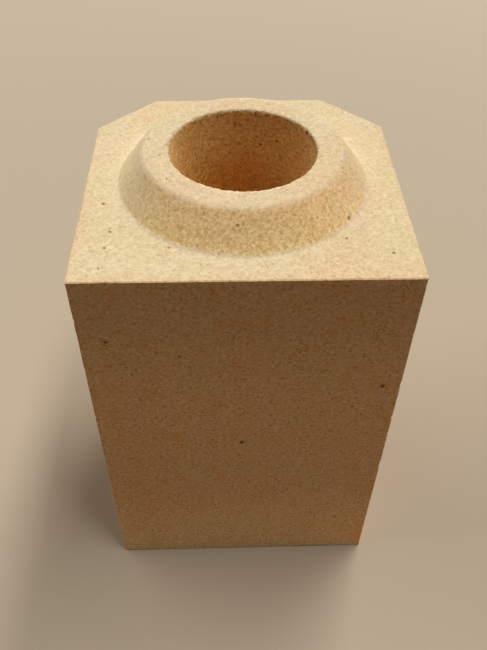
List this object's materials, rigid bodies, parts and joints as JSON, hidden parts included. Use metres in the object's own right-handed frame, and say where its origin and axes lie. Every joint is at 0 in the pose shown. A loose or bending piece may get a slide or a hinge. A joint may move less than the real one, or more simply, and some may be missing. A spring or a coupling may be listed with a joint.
{
  "type": "runner brick",
  "caption": "Fireclay runner brick for bottom pouring: square block with two corners cut off, a round bore from end to end, a conical spigot on one end and a matching socket in the other.",
  "frame": {"origin": "on the bore axis, at the lower end face that the brick stands on", "axes": "+Z along the bore towards the spigot, -Y out of the plain front face, +Y out of the rear face that lies between the two cut corners"},
  "size_m": [0.13, 0.13, 0.214],
  "materials": {
    "fireclay": "matte fired clay with fine grog grains"
  },
  "bodies": {
    "root": {"runner_brick": "fireclay"}
  },
  "joints": []
}
